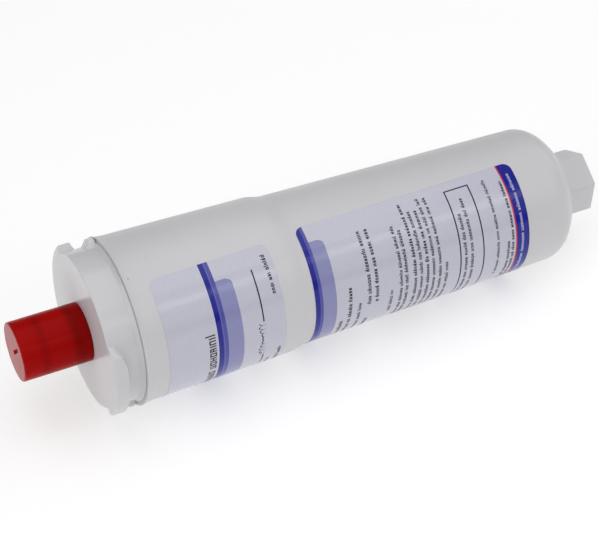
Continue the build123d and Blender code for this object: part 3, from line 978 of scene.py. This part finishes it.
rear_rows = [
    (14.4, 2.2, 52.0, FULL, 1.5, 0.32),
    (18.2, 2.2, 33.5, FULL, 1.5, 0.32),
    (22.9, 1.9, 43.5, FULL, 1.35, 0.27),
    (27.9, 2.2, 10.0, 47.0, 1.45, 0.29),
    (31.7, 2.2, 10.0, 47.0, 1.45, 0.29),
    (27.9, 2.2, 57.0, FULL, 1.45, 0.29),
    (39.0, 1.8, 42.0, 58.0, 1.3, 0.24),
    (43.9, 1.9, 12.5, FULL, 1.3, 0.27),
    (46.8, 1.9, 15.0, FULL, 1.3, 0.27),
    (51.2, 1.9, 4.0, FULL, 1.3, 0.32),
    (54.3, 1.9, 8.5, FULL, 1.3, 0.27),
    (57.6, 1.9, 9.0, FULL, 1.3, 0.32),
    (60.7, 1.9, 4.0, FULL, 1.3, 0.27),
    (64.0, 1.9, 4.5, FULL, 1.3, 0.27),
    (67.4, 1.9, 36.5, FULL, 1.3, 0.24),
    (77.6, 1.9, 16.5, FULL, 1.3, 0.27),
    (80.9, 1.9, 10.0, FULL, 1.3, 0.27),
    (94.7, 1.7, 5.0, 56.0, 1.2, 0.24),
    (100.2, 1.8, 36.5, FULL, 1.3, 0.27),
    (102.6, 1.8, 8.0, FULL, 1.35, 0.29),
]
print_piece("rear_label_print", rear_label, black_ink, rear_rows, REAR_PRINT_SEED)
band_rows = [(107.8, 1.8, 5.5, FULL, 1.35, 0.26)]
print_piece("rear_band_print", rear_label, pale_ink, band_rows, BAND_PRINT_SEED)


def line_piece(name, label, material, bars):
    bm = bmesh.new()
    for p0, p1, q0, q1 in bars:
        add_bar(bm, label, p0, p1, q0, q1)
    label_piece(name, bm, material)


# Rule on the front label with a loose flourish in its gap, and the rear label's frame.
line_piece("front_rule", front_label, black_ink, [
    (44.75, 45.4, 9.5, 33.5), (44.75, 45.4, 54.0, 76.0),
])
line_piece("rear_frame", rear_label, black_ink, [
    (73.8, 74.45, 4.6, FULL), (86.0, 86.65, 4.6, FULL),
    (74.45, 86.0, 4.6, 5.2), (74.45, 86.0, FULL - 0.6, FULL),
])


def build_flourish(label, centre, q_from, q_to, loops, height, thickness):
    """A wavy pen line that stands for handwriting."""
    bm = bmesh.new()
    steps = loops * 16
    previous = None
    for i in range(steps + 1):
        t = i / steps
        turn = t * loops * TAU
        swell = height * (0.55 + 0.45 * math.sin(t * 9.0 + 0.6))
        q = q_from + (q_to - q_from) * t + 0.45 * math.sin(turn)
        p = centre - swell * 0.5 * math.cos(turn)
        pair = [
            bm.verts.new(label.point(p + side, q, lift))
            for lift in (TEXT_TOP, FILM_TOP) for side in (-thickness / 2, thickness / 2)
        ]
        if previous is not None:
            for a, b in ((0, 1), (1, 3), (3, 2), (2, 0)):
                bm.faces.new((previous[a], previous[b], pair[b], pair[a]))
        else:
            bm.faces.new((pair[0], pair[1], pair[3], pair[2]))
        previous = pair
    bm.faces.new((previous[2], previous[3], previous[1], previous[0]))
    label_piece("front_flourish", bm, black_ink)


build_flourish(front_label, 44.2, 34.2, 53.4, 9, 3.4, 0.55)

# ================================================================ parts inside
# The CAD solids stay as they are and only get their looks.
element_white = moulded_white("element_white", (0.62, 0.62, 0.62), 0.35, 0.5)
inner_looks = {
    "stem_o_ring_1": seal_black, "stem_o_ring_2": seal_black,
    "nipple_o_ring_1": seal_black, "nipple_o_ring_2": seal_black,
    "element_gasket": rubber("gasket_foam", (0.035, 0.035, 0.038)),
    "carbon_block": granular("carbon_granules", (0.018, 0.018, 0.02), 1400.0, 0.8),
    "core_tube": element_white, "inlet_end_cap": element_white, "outlet_end_cap": element_white,
    "core_wrap": granular("core_fleece", (0.62, 0.62, 0.60), 2200.0, 0.5),
    "prefilter_wrap": granular("prefilter_fleece", (0.64, 0.64, 0.61), 2200.0, 0.5),
    "outer_netting": granular("net_strands", (0.60, 0.62, 0.62), 600.0, 0.9),
    "inlet_potting": granular("hot_melt", (0.60, 0.52, 0.36), 300.0, 0.15),
}
inner_looks["outlet_potting"] = inner_looks["inlet_potting"]
for name, material in inner_looks.items():
    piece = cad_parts[name]
    piece.data.materials.clear()
    piece.data.materials.append(material)

# ================================================================ stage
FLOOR_GLOW = 0.48
WORLD_GLOW = 0.236
COOL_WHITE = (0.988, 0.98, 1.0)
FLOOR_HALF = 4.0                        # metres
FLOOR_GAP = 0.05                        # keeps the floor just clear of the housing
STAGE_MIDDLE = Vector((-0.12, 0.0, 0.0))
# Name, azimuth and elevation in degrees, distance, width and height in metres, radiance.
SOFT_BOXES = (
    ("front_soft_box", 24.0, 35.0, 1.6, 1.5, 1.33, 0.6),
    ("front_strip", 25.0, 40.5, 1.5, 1.4, 0.22, 1.6),
    ("overhead", 180.0, 88.0, 1.5, 1.6, 1.87, 1.28),
    ("left_soft_box", -75.0, 25.0, 1.4, 1.2, 1.0, 1.45),
    ("right_soft_box", 100.0, 35.0, 1.6, 1.0, 1.0, 1.07),
)

# The floor touches the housing's rim and the dome's shoulder, as when the filter lies at rest.
rim_radius = bell(RIM_X) + RIM_BULGE
shoulder_radius = rear(SEAM_X + REAR_END)
lean = math.atan2(rim_radius - shoulder_radius, REAR_END)
floor_mesh = bpy.data.meshes.new("floor")
corners = [(FLOOR_HALF * a, FLOOR_HALF * b, 0) for a, b in ((-1, -1), (1, -1), (1, 1), (-1, 1))]
floor_mesh.from_pydata(corners, [], [(0, 1, 2, 3)])
floor = bpy.data.objects.new("floor", floor_mesh)
bpy.context.scene.collection.objects.link(floor)
floor.location = place(RIM_X, -rim_radius - FLOOR_GAP, 0)
floor.rotation_euler = (0, -lean, 0)
floor_white, _, floor_shader = principled("floor_white", (0.60, 0.60, 0.60), Roughness=0.6)
floor_shader.inputs["Emission Color"].default_value = (1.005, 1.0, 0.992, 1)
floor_shader.inputs["Emission Strength"].default_value = FLOOR_GLOW
floor_mesh.materials.append(floor_white)

world = bpy.data.worlds.new("studio")
bpy.context.scene.world = world
world.use_nodes = True
background = world.node_tree.nodes["Background"]
background.inputs["Color"].default_value = (0.97, 0.985, 1.0, 1)
background.inputs["Strength"].default_value = WORLD_GLOW


def panel(name, azimuth, elevation, distance, width, height, radiance):
    """Soft box that faces the object. Azimuth 0 is towards -Y, 90 towards +X."""
    a, e = math.radians(azimuth), math.radians(elevation)
    towards = Vector((math.sin(a) * math.cos(e), -math.cos(a) * math.cos(e), math.sin(e)))
    data = bpy.data.lights.new(name, "AREA")
    data.shape = "RECTANGLE"
    data.size = width
    data.size_y = height
    data.energy = radiance * math.pi * width * height
    data.color = COOL_WHITE
    lamp = bpy.data.objects.new(name, data)
    bpy.context.scene.collection.objects.link(lamp)
    lamp.location = STAGE_MIDDLE + towards * distance
    lamp.rotation_mode = "QUATERNION"
    lamp.rotation_quaternion = (-towards).to_track_quat("-Z", "Y")


for soft_box in SOFT_BOXES:
    panel(*soft_box)

# ================================================================ camera
CAMERA_LENS = 113.7
CAMERA_FROM_SEAM = Vector((-0.1991, -0.5968, 0.5472))
CAMERA_FORWARD = Vector((0.3343, 0.6899, -0.6421)).normalized()

camera_data = bpy.data.cameras.new("camera")
camera = bpy.data.objects.new("camera", camera_data)
bpy.context.scene.collection.objects.link(camera)
camera_data.sensor_width = 36.0
camera_data.lens = CAMERA_LENS
camera_data.clip_start = 0.05
camera_data.clip_end = 50.0
camera.location = place(SEAM_X, 0, 0) + CAMERA_FROM_SEAM
camera.rotation_mode = "QUATERNION"
camera.rotation_quaternion = CAMERA_FORWARD.to_track_quat("-Z", "Y")
bpy.context.scene.camera = camera
bpy.context.scene.view_settings.view_transform = "Standard"
bpy.context.scene.view_settings.look = "None"
